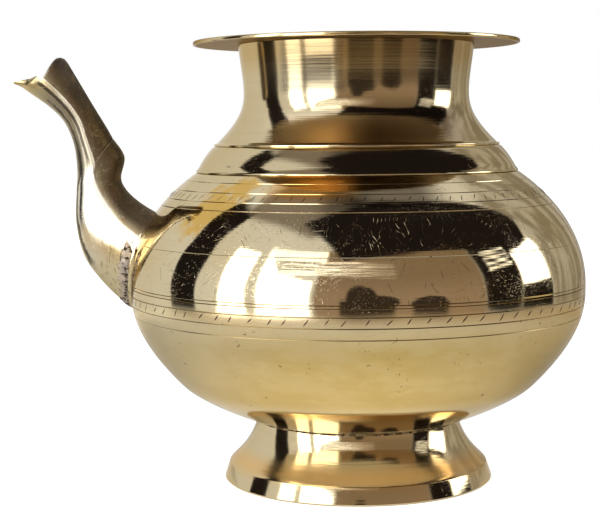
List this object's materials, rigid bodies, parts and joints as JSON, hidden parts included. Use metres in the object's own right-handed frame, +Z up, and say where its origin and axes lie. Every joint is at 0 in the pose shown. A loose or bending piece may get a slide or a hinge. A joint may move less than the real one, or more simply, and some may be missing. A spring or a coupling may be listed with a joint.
{
  "type": "spouted water pot",
  "caption": "Squat round brass water pot with a waisted neck, flat flared rim, hollow flared foot and a knuckled pouring spout with an open beak.",
  "frame": {"origin": "centre of the bounding box on the plane that the foot stands on; the pot's turning axis stands 22.6 mm from it towards +X", "axes": "+Z up through the mouth, -X along the spout, and the XZ plane halves the pot and its spout"},
  "size_m": [0.2252, 0.18, 0.1735],
  "materials": {
    "turned_brass": "turned and polished",
    "polished_brass": "polished",
    "spout_brass": "polished by hand",
    "dull_brass": "brushed, tarnished",
    "braze": "rough solder"
  },
  "bodies": {
    "root": {"rim": "turned_brass", "neck": "turned_brass", "shoulder": "polished_brass", "bowl": "polished_brass", "foot": "turned_brass", "spout_trough": "spout_brass", "spout_elbow_cover": "dull_brass", "spout_beak_cover": "dull_brass", "spout_braze": "braze", "foot_braze": "braze", "belly_braze": "braze", "neck_braze": "braze"}
  },
  "joints": []
}
